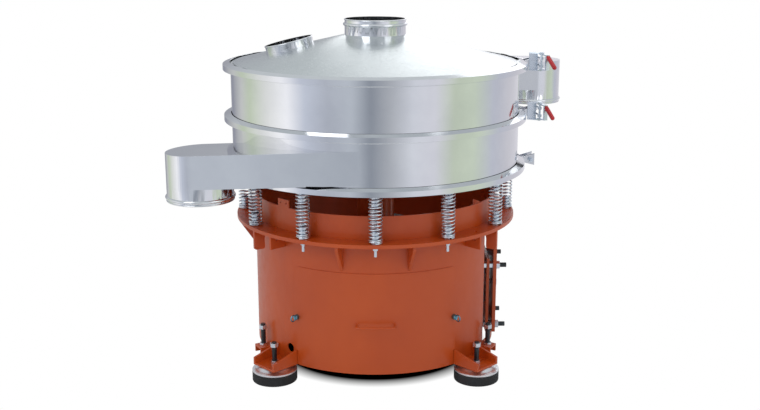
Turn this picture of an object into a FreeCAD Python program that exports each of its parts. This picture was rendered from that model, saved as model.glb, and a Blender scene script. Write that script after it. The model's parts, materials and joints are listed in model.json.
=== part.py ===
import FreeCAD, Part
import math
import os

# Circular vibrating sieve: a sprung stainless deck with two side outlets on an orange base.
# Millimetres. Origin on the machine's vertical axis at floor level, +Z up, the front at -Y.
# An azimuth is measured from the front, positive towards +X.

os.makedirs("parts", exist_ok=True)
V = FreeCAD.Vector
UP = V(0, 0, 1)

# Fits
running_clearance = 0.05
seat_gap = 0.3

# Base shell and its flange
base_radius = 513.0
base_wall = 6.0
base_bottom = 61.0
base_top = 709.5
flange_bottom = 601.0
flange_thickness = 15.0
flange_radius = 591.0
cable_hole_radius = 19.0
cable_hole_azimuth = -42.5
cable_hole_level = 122.0
transport_hole_radius = 8.0

# Access door in the front of the base
door_half_angle = 39.0
door_opening_half_angle = 34.0
door_top = 478.0
door_lap = 22.0
door_thickness = 3.0
door_corner_radius = 30.0
door_bracket_gap = 2.0
door_handle_span = 150.0
door_handle_rod_radius = 4.0
door_handle_reach = 34.0
door_handle_level = 268.0
door_pad_radius = 9.0
door_pad_thickness = 2.5
eye_screw_azimuth = 37.5
eye_screw_level = 266.0
eye_screw_radius = 5.0
eye_screw_boss_radius = 12.0
eye_screw_boss_length = 13.0
eye_ring_radius = 12.5
eye_rod_radius = 2.6
eye_screw_tail = 16.0
door_washer_thickness = 2.0

# Motor window on the right of the base
window_half_angle = 29.0
window_azimuth = 90.0
window_bottom = 95.0
window_top = 595.0

# Welded plates under the flange
gusset_azimuths = (-15.0, 15.0, -75.0, -105.0, -165.0, 165.0)
gusset_thickness = 12.0
gusset_bottom = 486.0
gusset_reach = 67.0
gusset_nose = 16.0
stub_plate_azimuths = (-45.0, 45.0, 135.0, -135.0)
stub_plate_thickness = 10.0
stub_plate_bottom = 548.0
stub_plate_reach = 75.0
lug_azimuths = (-57.0, 57.0, 123.0, -123.0)
lug_thickness = 12.0
lug_bottom = 520.0
lug_reach = 72.0
lug_leg_width = 46.0
lug_corner = 9.0

# Lock tab on the rim of the base
tab_azimuth = -45.5
tab_width = 65.0
tab_height = 31.0
tab_hole_radius = 3.5
tab_hole_spacing = 36.0

# Feet
foot_azimuths = (-45.0, 45.0, 135.0, -135.0)
foot_circle_radius = 580.0
pad_radius = 91.0
pad_height = 41.0
dish_rim = 7.0
dish_step_radius = 72.0
dish_top_radius = 56.0
bracket_reach = 638.0
bracket_half_width = 64.0
bracket_floor = 8.0
bracket_wall = 10.0
bracket_end_height = 31.0
bracket_root_height = 60.0
stud_radius = 10.0
nut_across_flats = 30.0
foot_lower_nut_height = 11.0
foot_upper_nut_height = 16.0
foot_stud_height = 98.0
foot_stud_end = 4.0

# Transport locks beside the feet
lock_azimuths = (-60.0, 60.0, 120.0, -120.0)
lock_reach = 567.0
lock_half_width = 30.0
lock_height = 31.0
lock_plate = 8.0
lock_circle_radius = 541.0
lock_stud_height = 95.0
lock_upper_nut_drop = 6.0

# Springs between the base and the deck
spring_count = 12
spring_circle_radius = 560.0
spring_outer_radius = 28.5
spring_wire = 6.0
spring_sides = 6
spring_closed_turns = 2.0
spring_active_turns = 11.5
spigot_radius = 18.0
spigot_wall = 4.0
spigot_height = 50.0
spring_stud_radius = 6.0
spring_stud_drop = 39.0
spring_nut_across_flats = 19.0
spring_nut_height = 13.0

# Deck: stacked frames held by three V-shaped clamp bands
deck_radius = 600.0
deck_wall = 3.0
band_joint = 821.5
screen_joint = 1025.5
cover_joint = 1234.5
gasket_half = 1.5
frame_flange_reach = 24.0
frame_flange_height = 10.3
band_radius = 631.7
band_sheet = 2.0
band_half_height = 10.5
band_leg_slope = 0.284
band_leg_end = 603.0
closure_azimuth = 95.0
band_clearance = 1.5
closure_gap = 46.0

# Table that carries the deck and the spindle
table_ring_inner = 470.0
table_rib_count = 6
table_rib_azimuth = 15.0
table_rib_thickness = 10.0
table_rib_root_depth = 60.0
table_rib_end_depth = 22.0
table_rib_end_radius = 540.0
hub_outer_radius = 110.0
hub_inner_radius = 92.0

# Spindle, its housing and the out-of-balance weights
spindle_radius = 25.0
housing_radius = 80.0
housing_bore = 40.0
housing_bottom = 575.0
housing_top = 815.0
housing_flange_radius = 145.0
housing_flange_thickness = 12.0
housing_bolt_radius = 6.0
housing_bolt_count = 6
bearing_outer_radius = 55.0
bearing_width = 30.0
weight_radius = 170.0
weight_thickness = 40.0
weight_hub_radius = 45.0
weight_half_angle = 75.0
weight_lead_angle = 90.0
top_weight_level = 832.0
bottom_weight_level = 512.0
spindle_top = 884.0

# Belt drive
pulley_radius = 75.0
pulley_width = 50.0
pulley_level = 442.0
pulley_hub_radius = 34.0
belt_count = 2
belt_spacing = 22.0
belt_top_width = 17.0
belt_bottom_width = 11.0
belt_depth = 11.0
belt_stand_out = 2.0

# Motor and its belt-tension mount
motor_axis = 374.0
motor_radius = 84.0
motor_bottom = 150.0
motor_top = 400.0
motor_shield_radius = 74.0
motor_shield_height = 14.0
motor_fan_cover_height = 46.0
motor_fin_count = 20
motor_fin_depth = 8.0
motor_fin_width = 4.0
motor_foot_height = 34.0
motor_foot_half_width = 66.0
motor_shaft_radius = 19.0
carrier_face = 474.0
carrier_thickness = 12.0
carrier_half_width = 118.0
carrier_bottom = 92.0
carrier_top = 420.0
tension_plate_face = 501.0
tension_plate_thickness = 14.0
tension_plate_half_width = 130.0
tension_stud_levels = (121.0, 388.0)
tension_stud_offset = 100.0
tension_stud_end = 44.0
tension_stud_inner = 452.0
tension_nut_height = 16.0
jack_level = 283.0
jack_radius = 12.0
jack_across_flats = 36.0
jack_head = 15.0

# Screen, gaskets and the dome pan
screen_ring_inner = 562.0
screen_ring_height = 8.0
screen_sheet = 0.8
pan_rim_level = 850.0
pan_crown_level = 930.0
pan_crown_radius = 120.0
pan_sheet = 3.0

# Cover, inlet and inspection port
cover_sheet = 3.0
cover_cone_radius = 589.0
cover_cone_level = 1250.0
cover_neck_level = 1358.0
inlet_radius = 127.0
inlet_top = 1422.0
inlet_bead_level = 1400.0
spout_sheet = 3.0
bead_radius = 6.5
lip_radius = 2.6
port_circle_radius = 355.0
port_azimuth = -90.0
port_radius = 100.0
port_height = 27.0

# Outlets: box ducts that leave the deck at a tangent and end over a round spout
duct_sheet = 2.0
duct_height = 130.0
spout_radius = 130.0
spout_bead_drop = 180.0
spout_skirt = 16.0
lower_duct_top = 978.0
lower_duct_angle = 5.6
lower_duct_length = 640.0
lower_duct_slope = 0.047
upper_duct_top = 1214.0
upper_duct_angle = -3.7
upper_duct_length = 761.0
upper_duct_slope = 0.018

# Toggle latches on the two upper bands
end_plate_reach = 52.0
end_plate_thickness = 6.0
end_plate_root = 11.0
end_plate_end = 25.0
gusset_run = 90.0
catch_reach = 17.0
catch_half_height = 7.0
latch_lift = 8.0
latch_pivot_out = 60.0
latch_pivot_front = 26.0
latch_throw = 14.0
latch_over_centre = 8.0
latch_cheek = 5.0
latch_half_height = 38.0
latch_pin_radius = 6.0
latch_cheek_radius = 12.0
lever_plate = 4.0
lever_half_height = 32.0
lever_half_width = 8.0
lever_length = 50.0
lever_bridge = 9.0
lever_closed_angle = 20.0
grip_length = 62.0
grip_radius = 9.0
grip_dip = 38.0
hook_rod_radius = 4.0
hook_half_height = 16.0
hook_pin_radius = 4.5
hook_eye_radius = 9.0
hook_eye_half = 5.5
hook_bend = 7.0
clamp_bolt_radius = 6.0
clamp_lug_reach = 34.0


def polar(radius, azimuth, level=0.0):
    """Point at a radius, azimuth and level about the machine's axis."""
    angle = math.radians(azimuth)
    return V(radius * math.sin(angle), -radius * math.cos(angle), level)


def at_azimuth(shape, azimuth):
    """Turn a shape that was drawn with +X as its outward direction to an azimuth."""
    turned = shape.copy()
    turned.rotate(V(0, 0, 0), UP, azimuth - 90.0)
    return turned


def moved(shape, x=0.0, y=0.0, z=0.0):
    shifted = shape.copy()
    shifted.translate(V(x, y, z))
    return shifted


def polygon_face(points):
    return Part.Face(Part.makePolygon(list(points) + [points[0]]))


def revolved(profile, angle=360.0):
    """Solid of revolution about the machine's axis from (radius, level) points."""
    return polygon_face([V(r, 0, z) for r, z in profile]).revolve(V(0, 0, 0), UP, angle)


def radial_plate(profile, thickness):
    """Upright plate in the radial plane, centred on it, from (radius, level) points."""
    face = polygon_face([V(r, -thickness / 2, z) for r, z in profile])
    return face.extrude(V(0, thickness, 0))


def level_plate(points, bottom, height):
    """Flat plate from plan points."""
    return polygon_face([V(x, y, bottom) for x, y in points]).extrude(V(0, 0, height))


def rod(radius, start, end):
    return Part.makeCylinder(radius, (end - start).Length, start, end - start)


def bent_rod(radius, points, bend):
    """Round bar along a line of points, with an arc of the bend radius at each corner."""
    edges = []
    start = points[0]
    for before, corner, after in zip(points, points[1:], points[2:]):
        arriving = (corner - before).normalize()
        leaving = (after - corner).normalize()
        half_turn = arriving.getAngle(leaving) / 2
        setback = bend * math.tan(half_turn)
        inward = (leaving - arriving).normalize()
        middle = corner + inward * (bend / math.cos(half_turn) - bend)
        end = corner - arriving * setback
        edges.append(Part.makeLine(start, end))
        start = corner + leaving * setback
        edges.append(Part.Arc(end, middle, start).toShape())
    edges.append(Part.makeLine(start, points[-1]))
    section = Part.Wire([Part.makeCircle(radius, points[0], points[1] - points[0])])
    return Part.Wire(edges).makePipeShell([section], True, False)


def disc(radius, bottom, top, x=0.0, y=0.0):
    return Part.makeCylinder(radius, top - bottom, V(x, y, bottom))


def ring(inner, outer, bottom, top, x=0.0, y=0.0):
    return disc(outer, bottom, top, x, y).cut(disc(inner, bottom - 1, top + 1, x, y))


def box(x0, x1, y0, y1, z0, z1):
    return Part.makeBox(x1 - x0, y1 - y0, z1 - z0, V(x0, y0, z0))


def sector(inner, outer, bottom, top, azimuth, half_angle):
    """Part of a ring within a half angle of an azimuth."""
    profile = [(inner, bottom), (outer, bottom), (outer, top), (inner, top)]
    return at_azimuth(revolved(profile, 2 * half_angle), azimuth - half_angle)


def hex_nut(across_flats, bore, height):
    """Hexagon nut standing on the XY plane."""
    corner = across_flats / math.sqrt(3.0)
    corners = [(corner * math.cos(k * math.pi / 3), corner * math.sin(k * math.pi / 3)) for k in range(6)]
    return level_plate(corners, 0.0, height).cut(disc(bore, -1, height + 1))


def beaded_tube(radius, sheet, bottom, top, bead_level, lip_level):
    """Upright round spout with a rolled bead and a rolled lip outside."""
    bore = disc(radius - sheet, bottom - 20, top + 20)
    bead = Part.makeTorus(radius, bead_radius, V(0, 0, bead_level))
    lip = Part.makeTorus(radius, lip_radius, V(0, 0, lip_level))
    return disc(radius, bottom, top).fuse([bead, lip]).cut(bore).removeSplitter()


# Base

def base_shell():
    shell = ring(base_radius - base_wall, base_radius, base_bottom, base_top)
    door_opening = sector(base_radius - 2 * base_wall, base_radius + base_wall,
                          base_bottom + door_lap, door_top - door_lap, 0.0, door_opening_half_angle)
    window = sector(base_radius - 2 * base_wall, base_radius + base_wall,
                    window_bottom, window_top, window_azimuth, window_half_angle)
    cable_hole = rod(cable_hole_radius, polar(base_radius - 2 * base_wall, cable_hole_azimuth, cable_hole_level),
                     polar(base_radius + base_wall, cable_hole_azimuth, cable_hole_level))
    screw_holes = [rod(eye_screw_radius + running_clearance,
                       polar(base_radius - 2 * base_wall, azimuth, eye_screw_level),
                       polar(base_radius + base_wall, azimuth, eye_screw_level))
                   for azimuth in (-eye_screw_azimuth, eye_screw_azimuth)]
    return shell.cut([door_opening, window, cable_hole] + screw_holes)


def base_flange():
    flange_top = flange_bottom + flange_thickness
    flange = ring(base_radius, flange_radius, flange_bottom, flange_top)
    holes = []
    for index in range(spring_count):
        place = polar(spring_circle_radius, index * 360.0 / spring_count)
        holes.append(disc(spring_stud_radius, flange_bottom - 1, flange_top + 1, place.x, place.y))
    for azimuth in stub_plate_azimuths:
        place = polar(spring_circle_radius, azimuth)
        holes.append(disc(transport_hole_radius, flange_bottom - 1, flange_top + 1, place.x, place.y))
    return flange.cut(holes)


def flange_gussets():
    tip = base_radius + gusset_reach
    profile = [(base_radius, gusset_bottom), (tip, flange_bottom - gusset_nose), (tip, flange_bottom),
               (base_radius, flange_bottom)]
    return [at_azimuth(radial_plate(profile, gusset_thickness), azimuth) for azimuth in gusset_azimuths]


def flange_stub_plates():
    profile = [(base_radius, stub_plate_bottom), (base_radius + stub_plate_reach, stub_plate_bottom),
               (base_radius + stub_plate_reach, flange_bottom), (base_radius, flange_bottom)]
    plate = radial_plate(profile, stub_plate_thickness)
    clearance_hole_drop = 20.0
    hole = disc(transport_hole_radius, flange_bottom - clearance_hole_drop, flange_bottom, spring_circle_radius)
    return [at_azimuth(plate.cut(hole), azimuth) for azimuth in stub_plate_azimuths]


def lifting_lugs():
    """Plates with a leg that hangs clear of the shell under an arch."""
    tip = base_radius + lug_reach
    leg = tip - lug_leg_width
    arch = leg - base_radius
    plate = radial_plate([(base_radius, lug_bottom), (tip, lug_bottom), (tip, flange_bottom),
                          (base_radius, flange_bottom)], lug_thickness)
    arch_top = flange_bottom - 15.0
    throat = radial_plate([(base_radius - 1, lug_bottom - 1), (leg, lug_bottom - 1), (leg, arch_top - arch),
                           (base_radius - 1, arch_top - arch)], lug_thickness + 2)
    curve = rod(arch, V(base_radius, -lug_thickness, arch_top - arch), V(base_radius, lug_thickness, arch_top - arch))
    plate = plate.cut([throat, curve])
    corners = [edge for edge in plate.Edges
               if abs(edge.CenterOfMass.z - lug_bottom) < 1e-6 and edge.Length < lug_thickness + 1e-6
               and abs(edge.Length - lug_thickness) < 1e-6]
    plate = plate.makeFillet(lug_corner, corners)
    return [at_azimuth(plate, azimuth) for azimuth in lug_azimuths]


def lock_tab():
    level = base_top + tab_height / 2
    holes = [rod(tab_hole_radius, V(base_radius - 4 * base_wall, y, level), V(base_radius + base_wall, y, level))
             for y in (-tab_hole_spacing / 2, tab_hole_spacing / 2)]
    rim = ring(base_radius - base_wall, base_radius, base_top, base_top + tab_height)
    slab = box(0, base_radius + 1, -tab_width / 2, tab_width / 2, base_top, base_top + tab_height)
    return at_azimuth(rim.common(slab).cut(holes), tab_azimuth)


def foot_brackets():
    inner = base_radius - 40.0
    end_level = base_bottom + bracket_end_height
    root_level = base_bottom + bracket_root_height
    cheek = [(inner, base_bottom), (bracket_reach, base_bottom), (bracket_reach, end_level),
             (base_radius, root_level), (inner, root_level)]
    walls = [moved(radial_plate(cheek, bracket_wall), y=side * (bracket_half_width - bracket_wall / 2))
             for side in (-1, 1)]
    floor = box(inner, bracket_reach, -bracket_half_width, bracket_half_width,
                base_bottom, base_bottom + bracket_floor)
    bracket = floor.fuse(walls).removeSplitter()
    bracket = bracket.cut([disc(base_radius, base_bottom - 1, root_level + 1),
                           disc(stud_radius, base_bottom - 1, end_level, foot_circle_radius)])
    return [at_azimuth(bracket, azimuth) for azimuth in foot_azimuths]


def foot_pads():
    return [at_azimuth(disc(pad_radius, 0.0, pad_height, foot_circle_radius), azimuth)
            for azimuth in foot_azimuths]


def foot_dishes():
    """Stepped metal cups that carry the brackets on the pads."""
    shoulder = pad_height + dish_rim
    profile = [(stud_radius, pad_height + foot_stud_end), (stud_radius, base_bottom), (dish_top_radius, base_bottom),
               (dish_step_radius, shoulder + 2), (dish_step_radius + 7, shoulder + 2), (pad_radius, shoulder),
               (pad_radius, pad_height), (0.0, pad_height), (0.0, pad_height + foot_stud_end)]
    dish = moved(revolved(profile), x=foot_circle_radius)
    return [at_azimuth(dish, azimuth) for azimuth in foot_azimuths]


def lock_brackets():
    """Small inverted channels on the shell for the transport locks."""
    inner = base_radius - 40.0
    top = base_bottom + lock_height
    block = box(inner, lock_reach, -lock_half_width, lock_half_width, base_bottom, top)
    hollow = box(inner - 1, lock_reach + 1, -lock_half_width + lock_plate, lock_half_width - lock_plate,
                 base_bottom - 1, top - lock_plate)
    bracket = block.cut([hollow, disc(base_radius, base_bottom - 1, top + 1),
                         disc(stud_radius, base_bottom, top + 1, lock_circle_radius)])
    return [at_azimuth(bracket, azimuth) for azimuth in lock_azimuths]


def standing_studs():
    foot_stud_bottom = pad_height + foot_stud_end
    foot_stud = disc(stud_radius, foot_stud_bottom, base_bottom + foot_stud_height, foot_circle_radius)
    lock_top = base_bottom + lock_height
    lock_stud = disc(stud_radius, lock_top - lock_plate, lock_top + lock_stud_height, lock_circle_radius)
    return ([at_azimuth(foot_stud, azimuth) for azimuth in foot_azimuths]
            + [at_azimuth(lock_stud, azimuth) for azimuth in lock_azimuths])


def standing_nuts():
    nuts = []
    lower = hex_nut(nut_across_flats, stud_radius, foot_lower_nut_height)
    upper = hex_nut(nut_across_flats, stud_radius, foot_upper_nut_height)
    foot_floor = base_bottom + bracket_floor
    foot_upper = base_bottom + foot_stud_height - foot_upper_nut_height - foot_stud_end
    lock_floor = base_bottom + lock_height
    lock_upper = lock_floor + lock_stud_height - foot_upper_nut_height - lock_upper_nut_drop
    for azimuth in foot_azimuths:
        nuts.append(at_azimuth(moved(lower, x=foot_circle_radius, z=foot_floor), azimuth))
        nuts.append(at_azimuth(moved(upper, x=foot_circle_radius, z=foot_upper), azimuth))
    for azimuth in lock_azimuths:
        nuts.append(at_azimuth(moved(lower, x=lock_circle_radius, z=lock_floor), azimuth))
        nuts.append(at_azimuth(moved(upper, x=lock_circle_radius, z=lock_upper), azimuth))
    return nuts


# Access door

def access_door():
    inner = base_radius
    outer = base_radius + door_thickness
    door = sector(inner, outer, base_bottom, door_top, 0.0, door_half_angle)
    edges = [edge for edge in door.Edges
             if abs(edge.Length - door_thickness) < 1e-6 and abs(edge.CenterOfMass.z - door_top) < 1e-6]
    door = door.makeFillet(door_corner_radius, edges)
    holes = [rod(eye_screw_radius + running_clearance, polar(inner - 5, azimuth, eye_screw_level),
                 polar(outer + 5, azimuth, eye_screw_level))
             for azimuth in (-eye_screw_azimuth, eye_screw_azimuth)]
    notch = box(0.0, bracket_reach, -bracket_half_width - door_bracket_gap, bracket_half_width + door_bracket_gap,
                base_bottom - 1, base_bottom + bracket_root_height + door_bracket_gap)
    notches = [at_azimuth(notch, azimuth) for azimuth in foot_azimuths]
    return door.cut(holes + notches)


def door_handle():
    """Round bar bent into a shallow U, on two pads."""
    face = base_radius + door_thickness
    half = door_handle_span / 2
    bar_at = -(face + door_handle_reach)
    foot_at = -math.sqrt(face * face - half * half)
    level = door_handle_level
    corners = [V(-half, foot_at, level), V(-half, bar_at, level), V(half, bar_at, level), V(half, foot_at, level)]
    bar = bent_rod(door_handle_rod_radius, corners, 4 * door_handle_rod_radius)
    pads = [rod(door_pad_radius, V(x, foot_at + 8, level), V(x, foot_at - door_pad_thickness, level))
            for x in (-half, half)]
    return bar.fuse(pads).cut(disc(face, base_bottom, door_top)).removeSplitter()


def eye_screw(side):
    """Hexagon-collared screw with a ring to turn it by."""
    face = base_radius + door_thickness
    shank = rod(eye_screw_radius, V(face - eye_screw_tail, 0, 0), V(face + eye_screw_boss_length, 0, 0))
    collar = hex_nut(2 * eye_screw_boss_radius * math.cos(math.pi / 6), eye_screw_radius / 2, eye_screw_boss_length)
    collar.rotate(V(0, 0, 0), V(0, 1, 0), 90.0)
    collar = moved(collar, x=face + seat_gap)
    eye_at = face + eye_screw_boss_length + eye_ring_radius
    eye = Part.makeTorus(eye_ring_radius, eye_rod_radius, V(eye_at, 0, 0), V(0, 1, 0))
    screw = shank.fuse([collar, eye]).removeSplitter()
    return at_azimuth(moved(screw, z=eye_screw_level), side * eye_screw_azimuth)


# Springs and their seats

def spring_places():
    return [index * 360.0 / spring_count for index in range(spring_count)]


def table_underside():
    return band_joint - frame_flange_height


def support_springs():
    """Compression springs with closed ends, as rods of square section bent in a many-sided helix."""
    low = flange_bottom + flange_thickness
    high = table_underside() - seat_gap
    closed_pitch = spring_wire + seat_gap
    closed_rise = 2 * spring_closed_turns * closed_pitch
    active_pitch = (high - low - spring_wire - closed_rise) / spring_active_turns
    turns = 2 * spring_closed_turns + spring_active_turns
    mean_radius = spring_outer_radius - spring_wire / 2
    half = spring_wire / 2
    sections = []
    for step in range(int(round(turns * spring_sides)) + 1):
        turn = step / spring_sides
        in_active = min(max(turn - spring_closed_turns, 0.0), spring_active_turns)
        level = low + half + (turn - in_active) * closed_pitch + in_active * active_pitch
        angle = 2 * math.pi * turn
        outward = V(math.cos(angle), math.sin(angle), 0)
        corners = [outward * (mean_radius - half) + V(0, 0, level - half),
                   outward * (mean_radius + half) + V(0, 0, level - half),
                   outward * (mean_radius + half) + V(0, 0, level + half),
                   outward * (mean_radius - half) + V(0, 0, level + half)]
        sections.append(Part.makePolygon(corners + [corners[0]]))
    spring = moved(Part.makeLoft(sections, True, True), x=spring_circle_radius)
    return [at_azimuth(spring, azimuth) for azimuth in spring_places()]


def spigot_cup(bottom, opening_up):
    """Hollow round seat that keeps a spring's end in place."""
    cup = disc(spigot_radius, bottom, bottom + spigot_height, spring_circle_radius)
    floor_low = bottom + (spigot_wall if opening_up else -1)
    floor_high = bottom + spigot_height + (1 if opening_up else -spigot_wall)
    bore = disc(spigot_radius - spigot_wall, floor_low, floor_high, spring_circle_radius)
    hole = disc(spring_stud_radius, bottom - 1, bottom + spigot_height + 1, spring_circle_radius)
    return cup.cut([bore, hole] if opening_up else [bore])


def lower_spring_seats():
    cup = spigot_cup(flange_bottom + flange_thickness, True)
    return [at_azimuth(cup, azimuth) for azimuth in spring_places()]


def upper_spring_seats():
    cup = spigot_cup(table_underside() - spigot_height, False)
    return [at_azimuth(cup, azimuth) for azimuth in spring_places()]


def spring_fasteners():
    """Stud through the flange at each spring, with a nut below and one in the seat."""
    low = flange_bottom - spring_stud_drop
    floor = flange_bottom + flange_thickness + spigot_wall
    stud = disc(spring_stud_radius, low, floor + spring_nut_height, spring_circle_radius)
    below = moved(hex_nut(spring_nut_across_flats, spring_stud_radius, spring_nut_height),
                  x=spring_circle_radius, z=flange_bottom - spring_nut_height)
    above = moved(hex_nut(spring_nut_across_flats, spring_stud_radius, spring_nut_height),
                  x=spring_circle_radius, z=floor)
    return [at_azimuth(piece, azimuth) for azimuth in spring_places() for piece in (stud, below, above)]


# Deck frames

def frame_ring(bottom_joint, top_joint):
    """Rolled shell with a flat flange at each end."""
    inner = deck_radius - deck_wall
    reach = deck_radius + frame_flange_reach
    low = bottom_joint + gasket_half
    high = top_joint - gasket_half
    profile = [(inner, low), (reach, low), (reach, bottom_joint + frame_flange_height),
               (deck_radius, bottom_joint + frame_flange_height),
               (deck_radius, top_joint - frame_flange_height), (reach, top_joint - frame_flange_height),
               (reach, high), (inner, high)]
    return revolved(profile)


def duct_plan(length, inset):
    """Plan outline of a duct: a strip along the tangent, rounded at the far end."""
    near = inset
    far = 2 * spout_radius - inset
    radius = spout_radius - inset
    start = Part.makeLine(V(0, near, 0), V(length, near, 0))
    cap = Part.Arc(V(length, near, 0), V(length + radius, spout_radius, 0), V(length, far, 0)).toShape()
    back = Part.makeLine(V(length, far, 0), V(0, far, 0))
    close = Part.makeLine(V(0, far, 0), V(0, near, 0))
    return Part.Face(Part.Wire([start, cap, back, close]))


def band_keep_out(inset):
    """Rings round the clamp bands that the ducts' sheets step over."""
    reach = band_radius + band_clearance + inset
    height = band_half_height + (band_radius - band_leg_end) * band_leg_slope + band_clearance + inset
    return [disc(reach, joint - height, joint + height) for joint in (band_joint, screen_joint, cover_joint)]


def duct_body(length, top, slope, inset, place):
    """Solid between a duct's sloping top and bottom, with the plan drawn a sheet inside."""
    tall = duct_plan(length, inset)
    tall.translate(V(0, 0, top - 2 * duct_height))
    prism = tall.extrude(V(0, 0, 3 * duct_height))
    run = length + 2 * spout_radius
    start = -deck_radius
    low = top - duct_height + inset
    high = top - inset
    slab = polygon_face([V(start, -10, high - slope * start), V(run, -10, high - slope * run),
                         V(run, -10, low - slope * run), V(start, -10, low - slope * start)])
    slab = slab.extrude(V(0, 2 * spout_radius + 20, 0))
    return place(prism.common(slab)).cut(band_keep_out(inset))


def lower_duct_place(shape):
    """Set a duct drawn along +X at the front of the deck, leading to the left."""
    placed = shape.mirror(V(0, 0, 0), V(1, 0, 0))
    placed.translate(V(0, -deck_radius, 0))
    placed.rotate(V(0, 0, 0), UP, -lower_duct_angle)
    return placed


def upper_duct_place(shape):
    """Set a duct drawn along +X at the back of the deck, leading to the right."""
    placed = shape.mirror(V(0, 0, 0), V(0, 1, 0))
    placed.translate(V(0, deck_radius, 0))
    placed.rotate(V(0, 0, 0), UP, -upper_duct_angle)
    return placed


def duct_shell(length, top, slope, place):
    """Welded box duct, open to the deck at one end and to its spout below the other."""
    outer = duct_body(length, top, slope, 0.0, place)
    inner = duct_body(length, top, slope, duct_sheet, place)
    drop = disc(spout_radius - spout_sheet, top - 3 * duct_height, top - duct_height / 2, length, spout_radius)
    deck_bore = disc(deck_radius, top - 3 * duct_height, top + duct_height)
    return outer.cut([inner, place(drop), deck_bore])


def duct_spout(length, top, slope, place):
    """Round spout under a duct's end, with a bead above its lower edge."""
    duct_floor = top - slope * length - duct_height
    bead_level = top - slope * length - spout_bead_drop
    bottom = bead_level - spout_skirt
    tube = beaded_tube(spout_radius, spout_sheet, bottom, duct_floor + spout_radius * slope + 5,
                       bead_level, bottom + lip_radius)
    tube = moved(tube, x=length, y=spout_radius)
    run = length + 2 * spout_radius
    above = polygon_face([V(0, -10, top - duct_height), V(run, -10, top - duct_height - slope * run),
                          V(run, -10, top + duct_height), V(0, -10, top + duct_height)])
    return place(tube.cut(above.extrude(V(0, 2 * spout_radius + 20, 0))))


def lower_frame():
    opening = duct_body(lower_duct_length, lower_duct_top, lower_duct_slope, duct_sheet, lower_duct_place)
    return frame_ring(band_joint, screen_joint).cut(opening)


def upper_frame():
    opening = duct_body(upper_duct_length, upper_duct_top, upper_duct_slope, duct_sheet, upper_duct_place)
    return frame_ring(screen_joint, cover_joint).cut(opening)


def table_frame():
    """Ring, hub and radial ribs that carry the deck on the springs."""
    low = table_underside()
    high = band_joint - gasket_half
    rim = ring(table_ring_inner, deck_radius + frame_flange_reach, low, high)
    hub = ring(hub_inner_radius, hub_outer_radius, low - table_rib_root_depth, high)
    middle = (hub_inner_radius + hub_outer_radius) / 2
    web = radial_plate([(middle, low - table_rib_root_depth), (table_rib_end_radius, low - table_rib_end_depth),
                        (table_rib_end_radius, high), (middle, high)], table_rib_thickness)
    ribs = [at_azimuth(web, table_rib_azimuth + index * 360.0 / table_rib_count)
            for index in range(table_rib_count)]
    return rim.fuse([hub] + ribs).removeSplitter()


def dome_pan():
    """Shallow cone that sheds the fines towards the lower outlet."""
    rim = deck_radius - deck_wall
    profile = [(rim, pan_rim_level), (rim, pan_rim_level + pan_sheet), (pan_crown_radius, pan_crown_level + pan_sheet),
               (0.0, pan_crown_level + pan_sheet), (0.0, pan_crown_level), (pan_crown_radius, pan_crown_level)]
    return revolved(profile)


def joint_gasket(joint):
    """Flat sealing ring between two frame flanges."""
    return ring(deck_radius - deck_wall, deck_radius + frame_flange_reach, joint - gasket_half, joint + gasket_half)


def screen_ring():
    outer = deck_radius - deck_wall - seat_gap
    return ring(screen_ring_inner, outer, screen_joint - screen_ring_height, screen_joint)


def screen_mesh():
    outer = deck_radius - deck_wall - seat_gap
    return disc(outer, screen_joint, screen_joint + screen_sheet)


def cover_cone():
    """Lid with a flat rim and a shallow cone, holed for the inlet and the inspection port."""
    rise = (cover_neck_level - cover_cone_level) / (cover_cone_radius - inlet_radius)
    drop = cover_sheet * math.sqrt(1 + rise * rise)
    inner_edge = cover_cone_radius - cover_sheet
    profile = [(inner_edge, cover_joint + gasket_half), (deck_radius + frame_flange_reach, cover_joint + gasket_half),
               (deck_radius + frame_flange_reach, cover_joint + frame_flange_height),
               (cover_cone_radius, cover_joint + frame_flange_height), (cover_cone_radius, cover_cone_level),
               (inlet_radius, cover_neck_level), (inlet_radius, cover_neck_level - drop),
               (inner_edge, cover_cone_level - drop + rise * cover_sheet)]
    cone = revolved(profile)
    return cone.cut(port_placed(disc(port_radius, -3 * cover_sheet, port_height)))


def port_placed(shape):
    """Stand a shape drawn about the origin on the cone's outer face, square to it."""
    rise = (cover_neck_level - cover_cone_level) / (cover_cone_radius - inlet_radius)
    level = cover_neck_level - rise * (port_circle_radius - inlet_radius)
    placed = shape.copy()
    placed.rotate(V(0, 0, 0), V(0, 1, 0), math.degrees(math.atan(rise)))
    placed.translate(V(port_circle_radius, 0, level))
    return at_azimuth(placed, port_azimuth)


def inspection_port():
    tube = ring(port_radius - spout_sheet, port_radius, -2 * cover_sheet, port_height)
    lip = Part.makeTorus(port_radius, lip_radius, V(0, 0, port_height - lip_radius))
    bore = disc(port_radius - spout_sheet, -20, 2 * port_height)
    return port_placed(tube.fuse(lip).cut(bore).removeSplitter())


def inlet_spout():
    return beaded_tube(inlet_radius, spout_sheet, cover_neck_level - 3 * cover_sheet, inlet_top,
                       inlet_bead_level, inlet_top - lip_radius)


# Clamp bands and latches

def closure_half_angle():
    return math.degrees(closure_gap / 2 / band_radius)


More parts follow.
